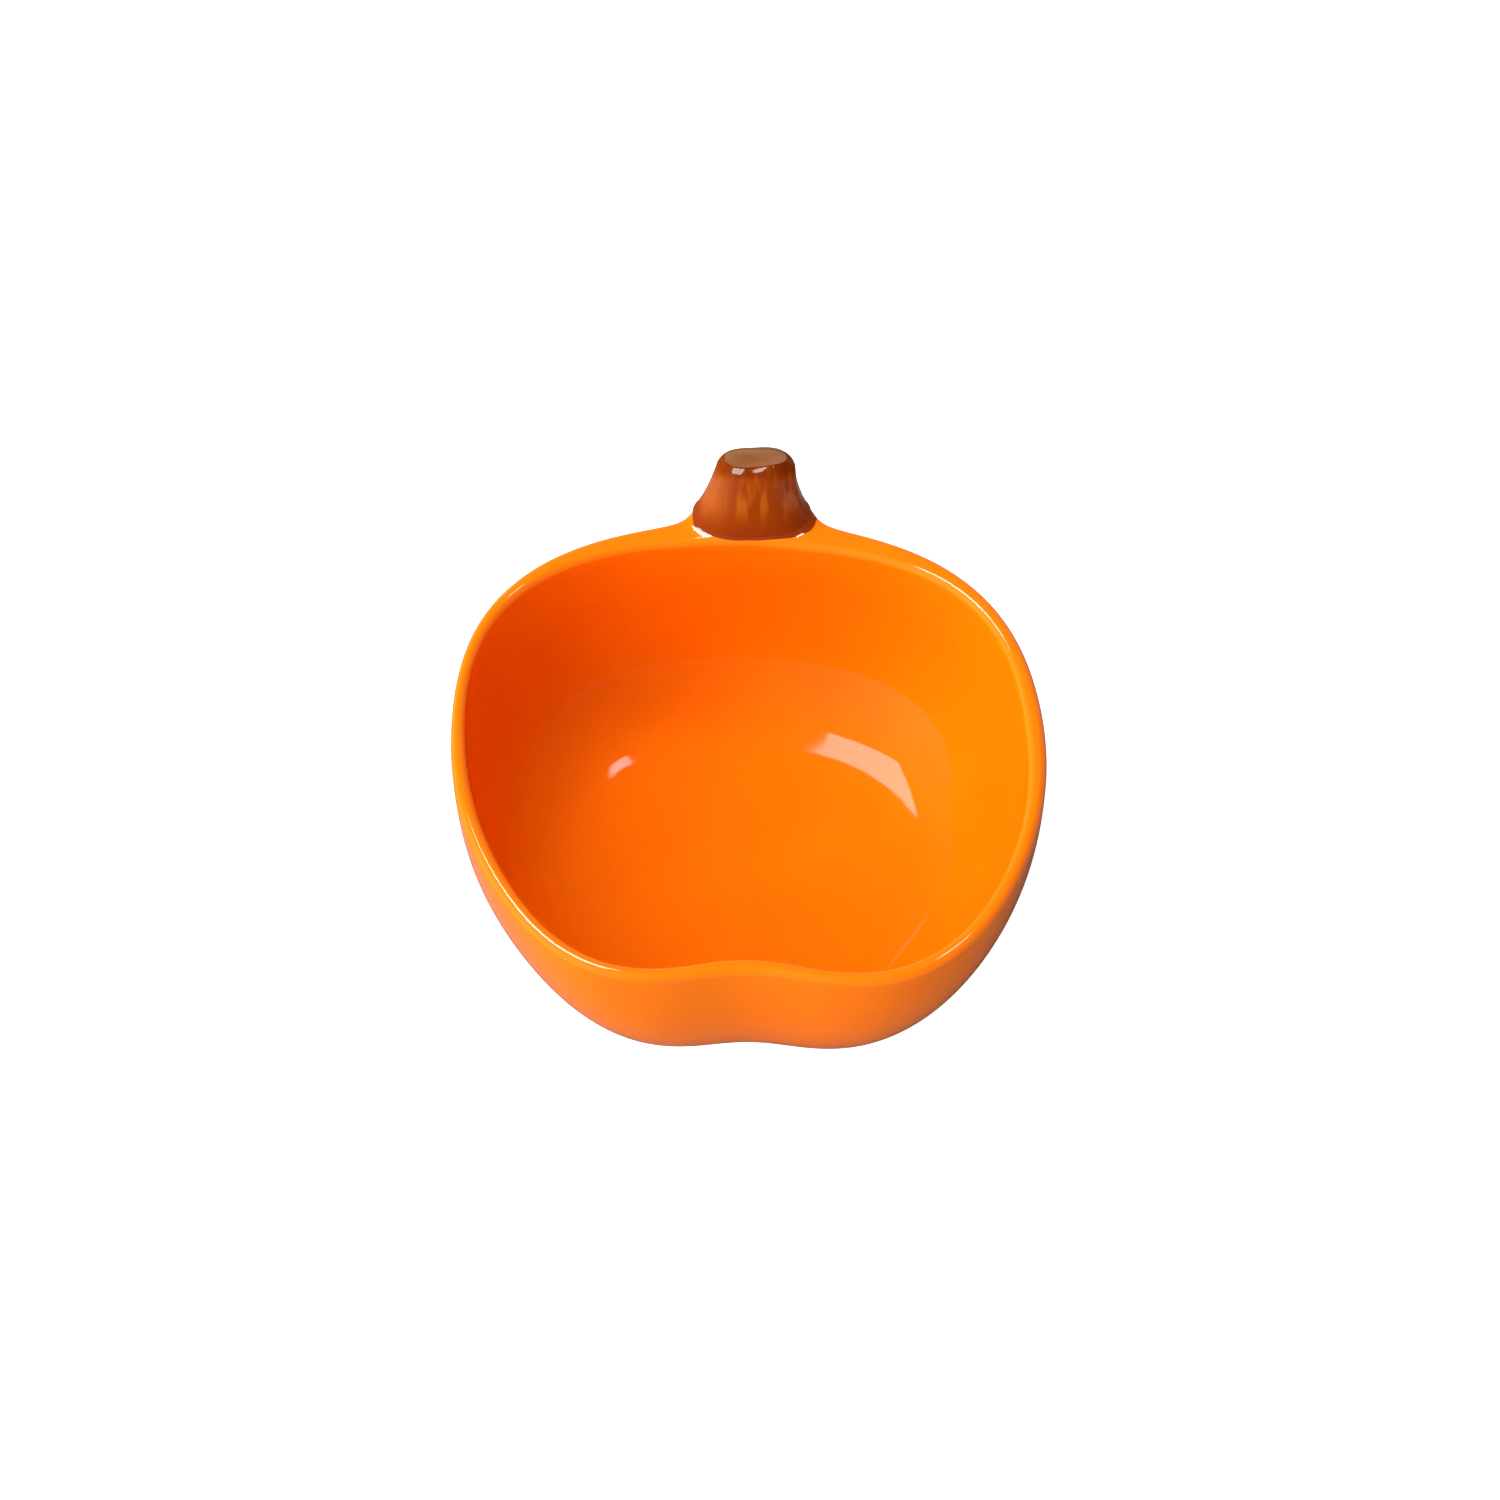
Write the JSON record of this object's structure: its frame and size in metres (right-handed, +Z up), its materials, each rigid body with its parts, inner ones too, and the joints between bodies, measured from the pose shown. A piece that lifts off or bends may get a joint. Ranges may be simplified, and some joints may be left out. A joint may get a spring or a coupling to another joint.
{
  "type": "figural serving bowl",
  "caption": "Pumpkin-shaped glazed earthenware bowl with a dimpled front, a rounded lip and a short stem standing on the back of the rim.",
  "frame": {"origin": "on the resting plane, under the middle of the foot ring", "axes": "+Z up, +Y from the dimpled front towards the stem at the back, +X to the right"},
  "size_m": [0.1456, 0.1596, 0.0736],
  "materials": {
    "clay": "unglazed, matte",
    "clay_slip": "unglazed, matte",
    "orange_glaze": "high gloss",
    "brown_glaze": "high gloss, brushed"
  },
  "bodies": {
    "root": {"bowl_body": "clay", "orange_glaze": "orange_glaze", "underside_glaze": "orange_glaze", "stem": "clay", "stem_slip_joint": "clay_slip", "brown_glaze": "brown_glaze"}
  },
  "joints": []
}
